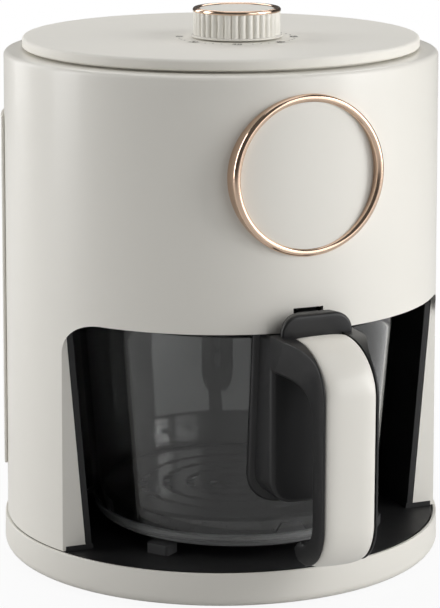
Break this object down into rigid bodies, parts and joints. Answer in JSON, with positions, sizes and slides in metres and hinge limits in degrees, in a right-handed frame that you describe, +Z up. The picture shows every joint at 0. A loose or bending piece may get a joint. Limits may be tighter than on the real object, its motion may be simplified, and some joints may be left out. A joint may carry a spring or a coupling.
{
  "type": "air fryer",
  "caption": "Round countertop air fryer with a pull-out glass pot on a hooked handle, a slotted crisper plate, a ribbed timer knob on its fixed top cover and a plain accent ring on the front",
  "frame": {"origin": "centre of the footprint, on the surface that the feet stand on", "axes": "+Z up, the glass pot and its handle face -Y, +X is to the right seen from the front"},
  "size_m": [0.2698, 0.3352, 0.3376],
  "materials": {
    "cream_plastic": "satin",
    "black_plastic": "satin",
    "silicone": "matte",
    "rubber": "matte",
    "zinc_steel": "satin",
    "sheet_steel": "brushed",
    "coated_steel": "satin",
    "element_steel": "matte",
    "mineral_wool": "matte",
    "rose_metal": "polished",
    "pot_glass": "polished"
  },
  "bodies": {
    "housing": {"outer_shell": "cream_plastic", "base_ring": "cream_plastic", "base_tray": "black_plastic", "pot_pads": "silicone", "bottom_plate": "black_plastic", "feet": "rubber", "base_screws": "zinc_steel", "cavity_liner": "black_plastic", "deck_ring": "sheet_steel", "mouth_seal": "silicone", "top_cover": "cream_plastic", "timer_screws": "zinc_steel", "timer_body": "black_plastic", "accent_ring": "rose_metal", "accent_disc": "cream_plastic", "chamber_shroud": "sheet_steel", "insulation": "mineral_wool", "fan_guard": "sheet_steel", "heater_coil": "element_steel", "heater_clips": "sheet_steel", "thermal_cutout": "zinc_steel", "heat_shield": "sheet_steel", "shield_posts": "zinc_steel", "motor_bracket": "sheet_steel", "motor_core": "element_steel", "motor_coil": "black_plastic", "microswitch": "black_plastic", "terminal_block": "cream_plastic", "rear_cover": "cream_plastic", "rear_screws": "zinc_steel", "exhaust_grille": "black_plastic", "cord_gland": "black_plastic"},
    "pot": {"glass_pot": "pot_glass", "handle_frame": "black_plastic", "grip_cover": "cream_plastic", "hood": "black_plastic", "handle_gasket": "silicone", "handle_screws": "zinc_steel"},
    "crisper": {"crisper_plate": "coated_steel", "plate_bumpers": "silicone"},
    "knob": {"knob_body": "cream_plastic", "knob_ring": "rose_metal", "knob_cap": "cream_plastic", "timer_spindle": "zinc_steel"},
    "fan": {"hot_fan": "sheet_steel", "fan_shaft": "zinc_steel", "fan_nut": "zinc_steel", "cooling_fan": "black_plastic"},
    "door_plunger": {"switch_plunger": "black_plastic"}
  },
  "joints": [
    {"name": "pot_slide", "type": "slide", "parent": "housing", "child": "pot", "axis": [0, -1, 0], "range_m": [0, 0.23]},
    {"name": "crisper_lift", "type": "slide", "parent": "pot", "child": "crisper", "axis": [0, 0, 1], "range_m": [0, 0.1]},
    {"name": "knob_turn", "type": "hinge", "parent": "housing", "child": "knob", "pos_m": [0, -0.00014, 0.33], "axis": [0, 0, -1], "range_deg": [0, 270]},
    {"name": "fan_spin", "type": "hinge", "parent": "housing", "child": "fan", "pos_m": [0, -0.00014, 0.2], "axis": [0, 0, 1], "continuous": true},
    {"name": "door_plunger_press", "type": "slide", "parent": "housing", "child": "door_plunger", "axis": [0, 1, 0], "range_m": [0, 0.0015], "stiffness_N_per_m": 200}
  ]
}
